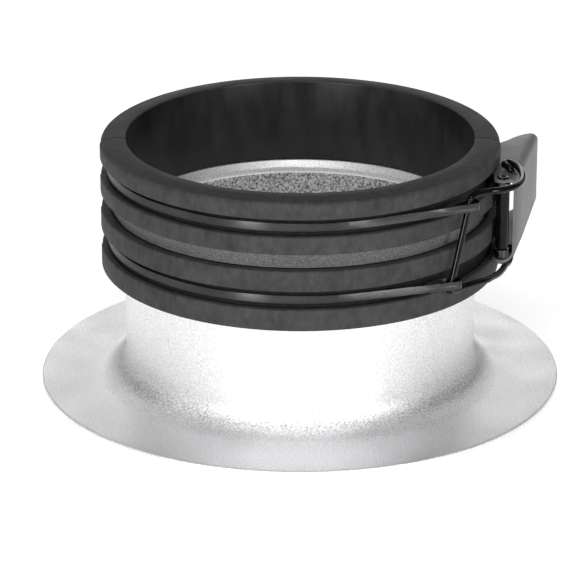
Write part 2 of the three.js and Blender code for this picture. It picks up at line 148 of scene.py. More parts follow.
# softboxes: name, azimuth, elevation, width and height in metres, power in watts
SOFTBOX_DISTANCE = 1.5
SOFTBOXES = (
    ("key_left", -28, 12, 0.28, 0.5, 10),
    ("key_right", 36, 12, 0.32, 0.5, 9),
    ("front", -2, 18, 0.5, 0.5, 2),
    ("side_left", -78, 22, 0.7, 0.8, 2.4),
    ("rear_left", -140, 30, 0.9, 0.8, 2.2),
    ("rear_right", 140, 30, 0.9, 0.8, 2),
    ("rear_low", 180, 16, 0.9, 0.5, 3.4),
    ("top_front", 0, 60, 1, 0.6, 6.5),
    ("top_left", -90, 55, 0.9, 0.8, 1),
    ("top_right", 90, 55, 0.9, 0.8, 1),
)
AIR_STRENGTH = 0.05
FLOOR_GLOW = 0.5


# ---- plan geometry -----------------------------------------------------------------------

def polar(radius, azimuth):
    angle = math.radians(azimuth)
    return Vector((radius * math.sin(angle), -radius * math.cos(angle)))


def outward(azimuth):
    return polar(1, azimuth)


def along(azimuth):
    return polar(1, azimuth + 90)


def heading(vector):
    """Direction angle of a plan vector, in degrees."""
    return math.degrees(math.atan2(vector.y, vector.x))


def smoothstep(value, low, high):
    share = min(max((value - low) / (high - low), 0), 1)
    return share * share * (3 - 2 * share)


def arc(centre, radius, start, end, steps):
    """Plan points on a circle from one direction angle to another."""
    points = []
    for i in range(steps + 1):
        angle = math.radians(start + (end - start) * i / steps)
        points.append(Vector(centre) + radius * Vector((math.cos(angle), math.sin(angle))))
    return points


def rounded(corners, steps=6):
    """Closed outline from (x, y, radius) corners, each corner with a radius drawn as an arc."""
    points = []
    count = len(corners)
    for i, (x, y, radius) in enumerate(corners):
        here = Vector((x, y))
        if radius == 0:
            points.append(here)
            continue
        before = (Vector(corners[i - 1][:2]) - here).normalized()
        after = (Vector(corners[(i + 1) % count][:2]) - here).normalized()
        half = before.angle(after) / 2
        centre = here + (before + after).normalized() * radius / math.sin(half)
        reach = radius / math.tan(half)
        start = heading(here + before * reach - centre)
        turn = (heading(here + after * reach - centre) - start + 180) % 360 - 180
        arc_steps = max(2, round(steps * math.sqrt(radius)))
        points.extend(arc(centre, radius, start, start + turn, arc_steps))
    return points


def inset(outline, distance):
    """The outline moved inwards along its corners' normals, for an outline drawn anticlockwise."""
    moved = []
    count = len(outline)
    for i, point in enumerate(outline):
        direction = (outline[(i + 1) % count] - outline[i - 1]).normalized()
        moved.append(point + Vector((-direction.y, direction.x)) * distance)
    return moved


def catmull_rom(points, steps):
    """Centripetal Catmull-Rom curve through the points."""
    first = points[0] * 2 - points[1]
    last = points[-1] * 2 - points[-2]
    knots = [first, *points, last]
    curve = []
    for p0, p1, p2, p3 in zip(knots, knots[1:], knots[2:], knots[3:]):
        d0, d1, d2 = (max((b - a).length ** 0.5, 1e-4) for a, b in ((p0, p1), (p1, p2), (p2, p3)))
        m1 = ((p1 - p0) / d0 - (p2 - p0) / (d0 + d1) + (p2 - p1) / d1) * d1
        m2 = ((p2 - p1) / d1 - (p3 - p1) / (d1 + d2) + (p3 - p2) / d2) * d1
        for i in range(steps):
            t = i / steps
            curve.append(
                p1 * (2 * t**3 - 3 * t**2 + 1)
                + m1 * (t**3 - 2 * t**2 + t)
                + p2 * (3 * t**2 - 2 * t**3)
                + m2 * (t**3 - t**2)
            )
    curve.append(points[-1].copy())
    return curve


# ---- mesh building -----------------------------------------------------------------------

def new_piece(name, mesh_builder, material, sharp_angle=50):
    """Turns a bmesh in millimetres into a smooth-shaded object in metres."""
    bmesh.ops.recalc_face_normals(mesh_builder, faces=mesh_builder.faces)
    mesh = bpy.data.meshes.new(name)
    mesh_builder.to_mesh(mesh)
    mesh_builder.free()
    mesh.transform(Matrix.Scale(MM, 4))
    mesh.materials.append(material)
    mesh.shade_smooth()
    mesh.set_sharp_from_angle(angle=math.radians(sharp_angle))
    piece = bpy.data.objects.new(name, mesh)
    bpy.context.scene.collection.objects.link(piece)
    return piece


def skin(builder, rings, closed=False, capped=True):
    """Joins rings of points with quads; the ends are capped unless the rings close on themselves."""
    rows = [[builder.verts.new(point) for point in ring] for ring in rings]
    pairs = list(zip(rows, rows[1:]))
    if closed:
        pairs.append((rows[-1], rows[0]))
    for row, following in pairs:
        for i in range(len(row)):
            j = (i + 1) % len(row)
            builder.faces.new((row[i], row[j], following[j], following[i]))
    if capped and not closed:
        builder.faces.new(rows[0])
        builder.faces.new(list(reversed(rows[-1])))


def raised(point, z):
    return Vector((point.x, point.y, z))


def lathe(outline, segments, centre=(0, 0)):
    """Rings of an outline of (radius, height) points turned about a vertical axis."""
    middle = Vector(centre)
    rings = []
    for i in range(segments):
        spoke = outward(360 * i / segments)
        rings.append([raised(middle + spoke * p.x, p.y) for p in outline])
    return rings


def turned_piece(name, corners, segments, material, centre=(0, 0), steps=6):
    builder = bmesh.new()
    skin(builder, lathe(rounded(corners, steps), segments, centre), closed=True)
    return new_piece(name, builder, material)


# ---- materials ---------------------------------------------------------------------------

class Finish:
    """A Principled material with small helpers for its procedural detail."""

    def __init__(self, name, color, roughness, metallic=0.0, **sockets):
        self.material = bpy.data.materials.new(name)
        self.material.use_nodes = True
        self.nodes = self.material.node_tree.nodes
        self.links = self.material.node_tree.links
        self.shader = self.nodes["Principled BSDF"]
        self.set("Base Color", (*color, 1))
        self.set("Roughness", roughness)
        self.set("Metallic", metallic)
        for socket, value in sockets.items():
            self.set(socket.replace("_", " "), value)
        self.place = self.nodes.new("ShaderNodeTexCoord").outputs["Object"]

    def set(self, socket, value):
        self.shader.inputs[socket].default_value = value

    def stretched(self, scale):
        """Object coordinates multiplied by a scale for each axis."""
        mapping = self.nodes.new("ShaderNodeMapping")
        mapping.inputs["Scale"].default_value = scale
        self.links.new(self.place, mapping.inputs["Vector"])
        return mapping.outputs["Vector"]

    def height(self):
        """Height above the flange's rear face, in metres."""
        node = self.nodes.new("ShaderNodeSeparateXYZ")
        self.links.new(self.place, node.inputs["Vector"])
        return node.outputs["Z"]

    def noise(self, size, detail=2.0, roughness=0.5, vector=None):
        """Noise whose features are about size millimetres across."""
        node = self.nodes.new("ShaderNodeTexNoise")
        node.inputs["Scale"].default_value = 1 / (size * MM)
        node.inputs["Detail"].default_value = detail
        node.inputs["Roughness"].default_value = roughness
        self.links.new(vector or self.place, node.inputs["Vector"])
        return node.outputs["Fac"]

    def spread(self, source, low, high, start=0.3, end=0.7):
        """Maps a noise value from start..end to low..high."""
        node = self.nodes.new("ShaderNodeMapRange")
        node.inputs["From Min"].default_value = start
        node.inputs["From Max"].default_value = end
        node.inputs["To Min"].default_value = low
        node.inputs["To Max"].default_value = high
        self.links.new(source, node.inputs["Value"])
        return node.outputs["Result"]

    def product(self, first, second):
        node = self.nodes.new("ShaderNodeMath")
        node.operation = "MULTIPLY"
        self.links.new(first, node.inputs[0])
        self.links.new(second, node.inputs[1])
        return node.outputs["Value"]

    def total(self, first, second):
        node = self.nodes.new("ShaderNodeMath")
        node.operation = "ADD"
        self.links.new(first, node.inputs[0])
        self.links.new(second, node.inputs[1])
        return node.outputs["Value"]

    def greys_from(self, factor, first, second):
        """Base colour between two greys, each given as (red and green, blue)."""
        node = self.nodes.new("ShaderNodeMix")
        node.data_type = "RGBA"
        for socket, (level, blue) in (("A", first), ("B", second)):
            node.inputs[socket].default_value = (level, level, blue, 1)
        self.links.new(factor, node.inputs["Factor"])
        self.links.new(node.outputs["Result"], self.shader.inputs["Base Color"])

    def roughness_from(self, output):
        self.links.new(output, self.shader.inputs["Roughness"])

    def bump(self, height, depth, strength=1.0):
        """Relief whose full height is depth millimetres."""
        node = self.nodes.new("ShaderNodeBump")
        node.inputs["Strength"].default_value = strength
        node.inputs["Distance"].default_value = depth * MM
        self.links.new(height, node.inputs["Height"])
        self.links.new(node.outputs["Normal"], self.shader.inputs["Normal"])


def blasted_aluminium():
    """Bead-blasted all over, and more coarsely in the fillet at the tube's foot, where coarse dark pits
    in the base colour also paint shade.
    """
    finish = Finish("blasted_aluminium", (0.82, 0.82, 0.83), 0.42, 1.0)
    grain = finish.noise(0.45, detail=3, roughness=0.65)
    coarse = finish.noise(0.55, detail=3, roughness=0.7)
    patches = finish.noise(14, detail=2)
    middle = FLANGE_THICKNESS + 0.4 * FILLET_RADIUS
    rising = finish.spread(finish.height(), 0, 1, FLANGE_THICKNESS * MM, middle * MM)
    falling = finish.spread(finish.height(), 1, 0, middle * MM, (middle + 1.1 * FILLET_RADIUS) * MM)
    in_fillet = finish.product(rising, falling)
    # painted shade with coarser grain: dark pits darken the fillet's base colour
    pits_and_fillet_shade = finish.product(finish.spread(coarse, -0.55, 0, 0.4, 0.56), in_fillet)
    shade = finish.total(finish.spread(grain, 0.55, 1, 0.3, 0.6), pits_and_fillet_shade)
    finish.greys_from(shade, (0.3, 0.304), (0.96, 0.97))
    finish.roughness_from(finish.spread(patches, 0.46, 0.56))
    deep = finish.product(coarse, finish.spread(in_fillet, 0, 3, 0, 1))
    finish.bump(finish.total(grain, deep), 0.05)
    return finish.material


def bore_shaded_aluminium():
    """Inside, the tube's base colour is darker, as painted shade, and it has the coarse grain of the
    casting.
    """
    finish = Finish("bore_shaded_aluminium", (0.4, 0.4, 0.405), 0.5, 1.0)
    grain = finish.noise(0.7, detail=4, roughness=0.7)
    # painted shade: darker greys than the outer aluminium
    finish.greys_from(finish.spread(grain, 0, 1, 0.4, 0.6), (0.15, 0.152), (0.85, 0.855))
    finish.roughness_from(finish.spread(grain, 0.4, 0.6))
    finish.bump(grain, 0.05)
    return finish.material


def moulded_rubber(name, dark, light):
    """Matt rubber with the faint scuffs and clouds of a used mould, between two greys."""
    finish = Finish(name, (light, light, light), 0.65, Specular_IOR_Level=0.17)
    scuffs = finish.noise(2.2, detail=5, roughness=0.65, vector=finish.stretched((1, 1, 0.6)))
    clouds = finish.noise(11, detail=3)
    both = finish.total(finish.spread(scuffs, 0, 0.65), finish.spread(clouds, 0, 0.35))
    finish.greys_from(both, (dark, dark * 1.05), (light, light * 1.05))
    finish.roughness_from(finish.spread(clouds, 0.58, 0.72))
    finish.bump(finish.noise(0.5, detail=3), 0.03)
    return finish.material


def groove_rubber():
    """The middle groove's floor keeps the coarse grain of the mould."""
    finish = Finish("groove_rubber", (0.07, 0.07, 0.072), 0.5, Specular_IOR_Level=0.4)
    grain = finish.noise(0.42, detail=2, roughness=0.7)
    finish.greys_from(finish.spread(grain, 0, 1, 0.35, 0.7), (0.045, 0.0465), (0.16, 0.165))
    finish.bump(grain, 0.08)
    return finish.material


def groove_shade_rubber():
    """Painted shade: the grooves' sides near their floors, and their floors behind the bands, are
    near-black matt rubber.
    """
    finish = Finish("groove_shade_rubber", (0.01, 0.01, 0.0105), 0.7, Specular_IOR_Level=0.15)
    shade_clouds = finish.noise(2, detail=3)
    # painted shade: near-black base colour, clouded a little
    finish.greys_from(finish.spread(shade_clouds, 0, 1), (0.006, 0.0063), (0.014, 0.0147))
    finish.bump(shade_clouds, 0.02)
    return finish.material


def bore_shaded_rubber():
    """Inside, the collar is painted darker as shade, polished by the head and faintly smeared upwards.
    """
    finish = Finish("bore_shaded_rubber", (0.009, 0.009, 0.0095), 0.35, Specular_IOR_Level=0.32)
    smears = finish.noise(4, detail=4, vector=finish.stretched((1, 1, 0.25)))
    clouds = finish.noise(16, detail=2)
    both = finish.product(finish.spread(smears, 0.4, 1), finish.spread(clouds, 0.3, 1))
    # painted shade: the bore's base colour is far darker than the outer rubber's
    finish.greys_from(both, (0.003, 0.0033), (0.023, 0.0243))
    finish.roughness_from(finish.spread(smears, 0.28, 0.46))
    finish.bump(finish.noise(0.9, detail=3), 0.012)
    return finish.material


def band_steel():
    """Black strip, brushed along its length, so that highlights stretch across it."""
    finish = Finish("band_steel", (0.07, 0.07, 0.072), 0.38, 1.0, Anisotropic=0.9)
    grain = finish.noise(0.6, detail=3, vector=finish.stretched((0.5, 0.5, 3)))
    patches = finish.noise(5, detail=2)
    finish.greys_from(finish.spread(grain, 0, 1), (0.055, 0.057), (0.08, 0.083))
    finish.roughness_from(finish.spread(patches, 0.34, 0.4))
    finish.set("Anisotropic Rotation", 0.25)
    tangent = finish.nodes.new("ShaderNodeTangent")
    tangent.direction_type = "RADIAL"
    tangent.axis = "Z"
    finish.links.new(tangent.outputs["Tangent"], finish.shader.inputs["Tangent"])
    finish.bump(grain, 0.003)
    return finish.material


def gloss_black_steel():
    finish = Finish("gloss_black_steel", (0.004, 0.004, 0.0042), 0.12, 0.0, Specular_IOR_Level=0.2)
    ripple = finish.noise(2.5, detail=2)
    finish.greys_from(finish.spread(ripple, 0, 1), (0.001, 0.0011), (0.004, 0.0042))
    finish.roughness_from(finish.spread(ripple, 0.08, 0.17))
    finish.bump(finish.noise(0.8, detail=2), 0.004)
    return finish.material


def lever_coating():
    finish = Finish("lever_coating", (0.15, 0.15, 0.154), 0.45, 0.0, Specular_IOR_Level=0.3)
    peel = finish.noise(0.7, detail=2)
    clouds = finish.noise(9, detail=3)
    finish.greys_from(finish.spread(clouds, 0, 1), (0.118, 0.121), (0.142, 0.145))
    finish.roughness_from(finish.spread(clouds, 0.4, 0.5))
    finish.bump(peel, 0.012)
    return finish.material


# ---- aluminium flange and tube -----------------------------------------------------------

def make_flange_tube(outside, inside):
    corners = [
        (TUBE_BORE, 0, 10),
        (FLANGE_RADIUS, 0, 0.5),
        (FLANGE_RADIUS, FLANGE_THICKNESS, 0.6),
        (TUBE_RADIUS, FLANGE_THICKNESS, FILLET_RADIUS),
        (TUBE_RADIUS, LIP_BOTTOM - 0.4, 0.3),
        (LIP_RADIUS, LIP_BOTTOM, 0.3),
        (LIP_RADIUS, TUBE_TOP, 1),
        (LIP_INNER_RADIUS + LIP_SLOPE_WIDTH, TUBE_TOP, 0.8),
        (LIP_INNER_RADIUS, TUBE_TOP - LIP_SLOPE_HEIGHT, 0.8),
        (LIP_INNER_RADIUS, LIP_BOTTOM, 0.5),
        (TUBE_BORE, LIP_BOTTOM - 0.6, 0.5),
    ]
    piece = turned_piece("flanged_tube", corners, 288, outside, steps=7)
    piece.data.materials.append(inside)
    for face in piece.data.polygons:
        radius = math.hypot(face.center.x, face.center.y) / MM
        # the bore below the lip takes the aluminium painted darker as shade
        face.material_index = int(radius < TUBE_BORE + 0.3 and face.center.z / MM < LIP_BOTTOM - 0.5)
    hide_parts("flange_tube")
    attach(piece, "ring")


# ---- rubber collar -----------------------------------------------------------------------

def collar_outline():
    """Cross-section of the collar, anticlockwise from the bottom of the bore."""
    corners = [(TUBE_SEAT, COLLAR_BOTTOM, 0.4), (COLLAR_RADIUS, COLLAR_BOTTOM, 0.3)]
    for low, high, floor in GROOVES:
        corners.append((COLLAR_RADIUS, low, RIB_TOP_ROUND))
        # the ledge's inner part, out to this point, carries painted shade
        corners.append((floor + GROOVE_SHADE_DEPTH, low, 0))
        corners.append((floor, low, 0.3))
        corners.append((floor, high, 0.3))
        corners.append((COLLAR_RADIUS, high, RIB_BOTTOM_ROUND))
    corners.extend([
        (COLLAR_RADIUS, COLLAR_SHOULDER_TOP, COLLAR_SHOULDER_ROUND),
        (COLLAR_LAND_RADIUS, COLLAR_TOP, 6),
        (HEAD_BORE, COLLAR_TOP, 0.5),
        (HEAD_BORE, LIP_SEAT_TOP, 0.3),
        (LIP_SEAT, LIP_SEAT_TOP, 0.1),
        (LIP_SEAT, LIP_SEAT_BOTTOM, 0.1),
        (TUBE_SEAT, LIP_SEAT_BOTTOM, 0.1),
    ])
    return rounded(corners, steps=5)


def collar_point(point, azimuth, proud):
    """A cross-section point at an azimuth, standing a little proud beside the seams."""
    seam_distance = abs(90 - abs((azimuth + 180) % 360 - 180))
    lift = proud * (1 - smoothstep(seam_distance, 3, 24))
    outer = smoothstep(point.x, HEAD_BORE + 2, COLLAR_RADIUS)
    return raised(polar(point.x + lift * outer, azimuth), point.y)


def make_collar_half(name, node, middle, materials, proud):
    """Half of the collar between the two flat seam faces, which lie in planes of constant Y."""
    outline = collar_outline()
    toward = -1 if middle == 0 else 1
    seam = SEAM_Y + toward * SEAM_GAP / 2
    steps = 200

    def span(radius, depth):
        """Azimuth, away from the half's middle, where a circle meets the seam plane's offset."""
        return math.degrees(math.acos((seam + toward * depth) * toward / radius))

    def end_ring(side, depth, shrink):
        ring = []
        for point in inset(outline, shrink):
            azimuth = middle + side * span(point.x, depth)
            ring.append(collar_point(point, azimuth, proud))
        return ring

    rings = []
    edge = [(0, 1), (0.076, 0.617), (0.293, 0.293), (0.617, 0.076)]
    for depth, shrink in edge:
        rings.append(end_ring(-1, depth * SEAM_ROUND, shrink * SEAM_ROUND))
    for i in range(steps + 1):
        share = 2 * i / steps - 1
        rings.append([
            collar_point(point, middle + share * span(point.x, SEAM_ROUND), proud)
            for point in outline
        ])
    for depth, shrink in reversed(edge):
        rings.append(end_ring(1, depth * SEAM_ROUND, shrink * SEAM_ROUND))
    builder = bmesh.new()
    skin(builder, rings)
    piece = new_piece(name, builder, materials[0], sharp_angle=60)
    for material in materials[1:]:
        piece.data.materials.append(material)
    for face in piece.data.polygons:
        face.material_index = collar_zone(face.center / MM)
    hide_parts(node)
    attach(piece, "ring")


def collar_zone(centre):
    """A face's rubber: 0 outside, 1 bore (painted shade), 2 middle groove's floor, 3 grooves' inner
    sides and floors behind the bands (painted shade), 4 top (painted darker as shade).
    """
    radius = math.hypot(centre.x, centre.y)
    # the bore takes the rubber painted darker as shade
    if radius < HEAD_BORE + 0.3 and centre.z < COLLAR_TOP - 0.4:
        return 1
    if radius < TUBE_SEAT + 0.3 and centre.z < LIP_SEAT_BOTTOM:
        return 1
    for low, high, floor in GROOVES:
        # faces near a groove's floor take painted shade, except the middle groove's floor
        if low - 0.1 < centre.z < high + 0.1 and floor - 0.2 < radius < floor + GROOVE_SHADE_DEPTH:
            on_floor = radius < floor + 0.1
            return 2 if on_floor and floor == GROOVES[1][2] else 3
    # the top face takes the rubber painted darker as shade
    if radius < COLLAR_RADIUS - 0.9 and centre.z > COLLAR_SHOULDER_TOP - 0.3:
        return 4
    return 0


# ---- steel bands -------------------------------------------------------------------------

def strip_section():
    half_thickness = BAND_THICKNESS / 2
    half_width = BAND_WIDTH / 2
    corner = 0.16
    return rounded([
        (half_thickness, -half_width, corner),
        (half_thickness, half_width, corner),
        (-half_thickness, half_width, corner),
        (-half_thickness, -half_width, corner),
    ], steps=8)


def band_height(point, middle_z, rear_drop):
    """The upper band sinks a little in its groove round the back."""
    azimuth = math.degrees(math.atan2(point.x, -point.y))
    travelled = 360 - azimuth if azimuth > 60 else max(0, -azimuth)
    return middle_z - rear_drop * smoothstep(travelled, 110, 285)


def strip_rings(line, middle_z, rear_drop):
    """Cross-sections of a flat strip standing on edge along a plan line."""
    section = strip_section()
    rings = []
    for i, point in enumerate(line):
        before = line[max(i - 1, 0)]
        after = line[min(i + 1, len(line) - 1)]
        direction = (after - before).normalized()
        side = Vector((-direction.y, direction.x))
        z = band_height(point, middle_z, rear_drop)
        rings.append([raised(point + side * p.x, z + p.y) for p in section])
    return rings


def leaving_angle(post_distance, offset):
    """Azimuth between a post and the place where a strip that passes it leaves the groove."""
    return math.degrees(math.acos((BAND_RADIUS - offset) / post_distance))


def groove_line(start, end):
    steps = max(2, round(abs(end - start) / 1.5))
    return [polar(BAND_RADIUS, start + (end - start) * i / steps) for i in range(steps + 1)]


def straight_line(start, end, steps):
    return [start.lerp(end, i / steps) for i in range(1, steps)]


def long_band_line(start_azimuth):
    """From near the flexing point round the front, left and back, round the pin and folded."""
    leaving = math.degrees(math.atan2(PIN.x, -PIN.y)) + leaving_angle(PIN.length, REAR_EYE_RADIUS)
    normal = outward(leaving)
    groove_end = polar(BAND_RADIUS, leaving)
    eye_start = PIN + normal * REAR_EYE_RADIUS
    fold_end = eye_start + along(leaving) * REAR_FOLD_LENGTH - normal * (BAND_THICKNESS + FOLD_GAP)
    to_fold = fold_end - PIN
    tangent = math.degrees(math.acos(REAR_EYE_RADIUS / to_fold.length))
    eye_to = heading(to_fold) + tangent - 360
    eye = arc(PIN, REAR_EYE_RADIUS, heading(normal), eye_to, 36)
    return [
        *groove_line(start_azimuth, leaving - 360),
        *straight_line(groove_end, eye_start, 10),
        *eye,
        *straight_line(eye[-1], fold_end, 6),
        fold_end,
    ]


def band_end_line(start_azimuth, leg_azimuth):
    """From the groove round the bail's leg in a long eye, and folded back inside."""
    leaving = leg_azimuth - leaving_angle(LEG_FROM_AXIS, EYE_HALF_WIDTH)
    normal = outward(leaving)
    forward = along(leaving)
    leg = polar(LEG_FROM_AXIS, leg_azimuth)
    groove_end = polar(BAND_RADIUS, leaving)
    nose = leg + forward * EYE_NOSE
    slot_back = leg - forward * EYE_SLOT - normal * EYE_HALF_WIDTH
    fold_end = leg - forward * FRONT_FOLD_LENGTH + normal * (EYE_HALF_WIDTH - BAND_THICKNESS - FOLD_GAP)
    nose_arc = arc(nose, EYE_HALF_WIDTH, heading(normal), heading(normal) + 180, 28)
    return [
        *groove_line(start_azimuth, leaving),
        *straight_line(groove_end, nose_arc[0], 14),
        *nose_arc,
        *straight_line(nose_arc[-1], slot_back, 5),
        *straight_line(slot_back, fold_end, 6),
        fold_end,
    ]


def add_weld(builder, leg_azimuth, behind_leg, z):
    """A small bead of weld that joins the two layers of a folded strip at their edge."""
    leaving = leg_azimuth - leaving_angle(LEG_FROM_AXIS, EYE_HALF_WIDTH)
    direction = along(leaving)
    side = -outward(leaving)
    here = polar(LEG_FROM_AXIS, leg_azimuth) - direction * behind_leg - side * EYE_HALF_WIDTH
    bead = bmesh.ops.create_icosphere(builder, subdivisions=3, radius=1)
    for vert in bead["verts"]:
        x, y, height = vert.co
        lumpy = 1 + 0.12 * math.sin(7 * x + 3 * y)
        plan = here + direction * 0.42 * x * lumpy + side * (0.55 * y - 0.35)
        vert.co = raised(plan, z + 0.24 * height * lumpy)


def make_band(name, middle_z, rear_drop, flex, leg_azimuth, weld_behind_leg, material):
    """One strip, drawn as its long part and as its end round the bail's leg."""
    split = flex - FLEX_TO_SPLIT
    long_part = bmesh.new()
    skin(long_part, strip_rings(long_band_line(split), middle_z, rear_drop))
    piece = new_piece(f"{name}_strip", long_part, material)
    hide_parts(name)
    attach(piece, "ring")

    end_line = band_end_line(split, leg_azimuth)
    end_part = bmesh.new()
    skin(end_part, strip_rings(end_line, middle_z, 0))
    add_weld(end_part, leg_azimuth, weld_behind_leg, middle_z + BAND_WIDTH / 2)
    end = new_piece(f"{name}_end_strip", end_part, material)
    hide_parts(f"{name}_end")
    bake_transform(end)


# ---- hinge pin and sleeve ----------------------------------------------------------------

def make_hinge_pin(material):
    foot_top = LEVER_BOTTOM - PIN_FOOT_GAP
    foot_bottom = foot_top - PIN_HEAD_HEIGHT
    flare_bottom = LEVER_TOP + PIN_HEAD_GAP
    flare_top = flare_bottom + PIN_HEAD_HEIGHT
    corners = [
        (0.01, foot_bottom, 0),
        (PIN_HEAD_RADIUS, foot_bottom, 0.15),
        (PIN_HEAD_RADIUS, foot_top, 0.1),
        (PIN_RADIUS, foot_top, 0),
        (PIN_RADIUS, flare_bottom, 0),
        (PIN_HEAD_RADIUS, flare_bottom, 0.1),
        (PIN_HEAD_RADIUS, flare_top, 0.15),
        (PIN_HOLE, flare_top, 0.2),
        (PIN_HOLE, LEVER_TOP - PIN_HOLE_DEPTH, 0.1),
        (0.01, LEVER_TOP - PIN_HOLE_DEPTH, 0),
    ]
    piece = turned_piece("flared_pin", corners, 48, material, centre=PIN)
    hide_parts("hinge_pin")
    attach(piece, "ring")


def make_hinge_sleeve(material):
    low = LOWER_BAND_Z + BAND_WIDTH / 2 + SLEEVE_END_GAP
    high = UPPER_BAND_Z - UPPER_BAND_REAR_DROP - BAND_WIDTH / 2 - SLEEVE_END_GAP
    corners = [
        (SLEEVE_BORE, low, 0.1),
        (SLEEVE_RADIUS, low, 0.2),
        (SLEEVE_RADIUS, high, 0.2),
        (SLEEVE_BORE, high, 0.1),
    ]
    piece = turned_piece("pin_sleeve", corners, 64, material, centre=PIN)
    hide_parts("hinge_sleeve")
    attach(piece, "ring")


# ---- lever -------------------------------------------------------------------------------

def lever_direction():
    return polar(1, 180 - LEVER_SPLAY)


def lever_outward():
    direction = lever_direction()
    return Vector((direction.y, -direction.x))


def lever_tip():
    return LEVER_FRONT + lever_direction() * LEVER_LENGTH


def lever_ear():
    """The round ear about the hinge pin."""
    start = heading(lever_outward()) - 75
    return arc(PIN, EAR_RADIUS, start, start - 115, 28)


def lever_inner_edge(radius):
    """From behind the ear along the collar at a radius, and out in a sweep to the tip."""
    follow = [polar(radius + (azimuth - 76) * 0.06, azimuth) for azimuth in range(76, 102, 5)]
    sweep = [follow[-1], Vector((60.6, 14.9)), Vector((63, 17.9)), Vector((66, 20.4)), lever_tip()]
    return [*follow[:-1], *catmull_rom(sweep, 10)]


def lever_plan():
    """Plan of the top flange, which reaches into the upper groove."""
    outer = lever_outward()
    return [
        LEVER_FRONT + outer * 3,
        LEVER_FRONT,
        *lever_ear(),
        *lever_inner_edge(LEVER_GROOVE_CLEARANCE_RADIUS),
        lever_tip() + outer * 3,
    ]


def rib_clearance_plan():
    """What the lower flange leaves free so that it passes the collar's ribs."""
    ear_end = lever_ear()[-1]
    inner_edge = lever_inner_edge(LEVER_RIB_CLEARANCE_RADIUS)
    inside = COLLAR_RADIUS - 10
    return [ear_end, *inner_edge[:-1], Vector((inside, inner_edge[-2].y)), Vector((inside, ear_end.y))]


def lever_section():
    """The folded sheet across: (depth behind the outer face, height)."""
    depth = 22
    fold = LEVER_BEND - LEVER_SHEET
    return rounded([
        (depth, LEVER_BOTTOM, 0),
        (depth, LEVER_BOTTOM + LEVER_SHEET, 0),
        (LEVER_SHEET, LEVER_BOTTOM + LEVER_SHEET, fold),
        (LEVER_SHEET, LEVER_TOP - LEVER_SHEET, fold),
        (depth, LEVER_TOP - LEVER_SHEET, 0),
        (depth, LEVER_TOP, 0),
        (0, LEVER_TOP, LEVER_BEND),
        (0, LEVER_BOTTOM, LEVER_BEND),
    ], steps=9)


def lever_side():
    """The lever from outside: (distance from its front edge, height), round at the tip."""
    low_tip = LEVER_BOTTOM + LEVER_TIP_RISE
    return rounded([
        (-8, LEVER_BOTTOM - 1, 0),
        (0, LEVER_BOTTOM - 1, 0),
        (LEVER_LENGTH, low_tip - LEVER_TIP_DROOP, LEVER_TIP_ROUND),
        (LEVER_LENGTH, LEVER_TOP, LEVER_TIP_ROUND),
        (LEVER_LENGTH - 6, LEVER_TOP + 0.4, 0),
        (LEVER_LENGTH - 8, LEVER_TOP + 1, 0),
        (-8, LEVER_TOP + 1, 0),
    ], steps=6)


def beside_lever(distance, depth, height):
    """A place given along the lever, behind its outer face and upwards."""
    place = LEVER_FRONT + lever_direction() * distance - lever_outward() * depth
    return raised(place, height)


def tapered_height(distance, height):
    beyond = max(0, distance - LEVER_RISE_START) / (LEVER_LENGTH - LEVER_RISE_START)
    return height + LEVER_TIP_RISE * beyond * (LEVER_TOP - height) / (LEVER_TOP - LEVER_BOTTOM)


def solid_object(name, rings):
    builder = bmesh.new()
    skin(builder, rings)
    bmesh.ops.recalc_face_normals(builder, faces=builder.faces)
    mesh = bpy.data.meshes.new(name)
    builder.to_mesh(mesh)
    builder.free()
    solid = bpy.data.objects.new(name, mesh)
    bpy.context.scene.collection.objects.link(solid)
    return solid


def column(name, outline, low, high):
    rings = [[raised(point, z) for point in outline] for z in (low, high)]
    return solid_object(name, rings)


def hole(name, centre, radius):
    """A cutter through both flanges for a rod of a radius, as a 48-sided column."""
    outline = arc(centre, radius + LEVER_HOLE_GAP, 0, 352.5, 47)
    return column(name, outline, LEVER_BOTTOM - 3, LEVER_TOP + 3)


def cut(target, tool, operation):
    modifier = target.modifiers.new(operation, "BOOLEAN")
    modifier.operation = operation
    modifier.solver = "EXACT"
    modifier.object = tool


def soften_edges(builder, angle, width):
    """Rounds every edge that turns by more than the angle."""
    limit = math.radians(angle)
    edges = [e for e in builder.edges if e.is_manifold and e.calc_face_angle(0) > limit]
    bmesh.ops.bevel(
        builder,
        geom=edges,
        offset=width,
        offset_type="OFFSET",
        segments=2,
        profile=0.5,
        affect="EDGES",
        clamp_overlap=True,
    )


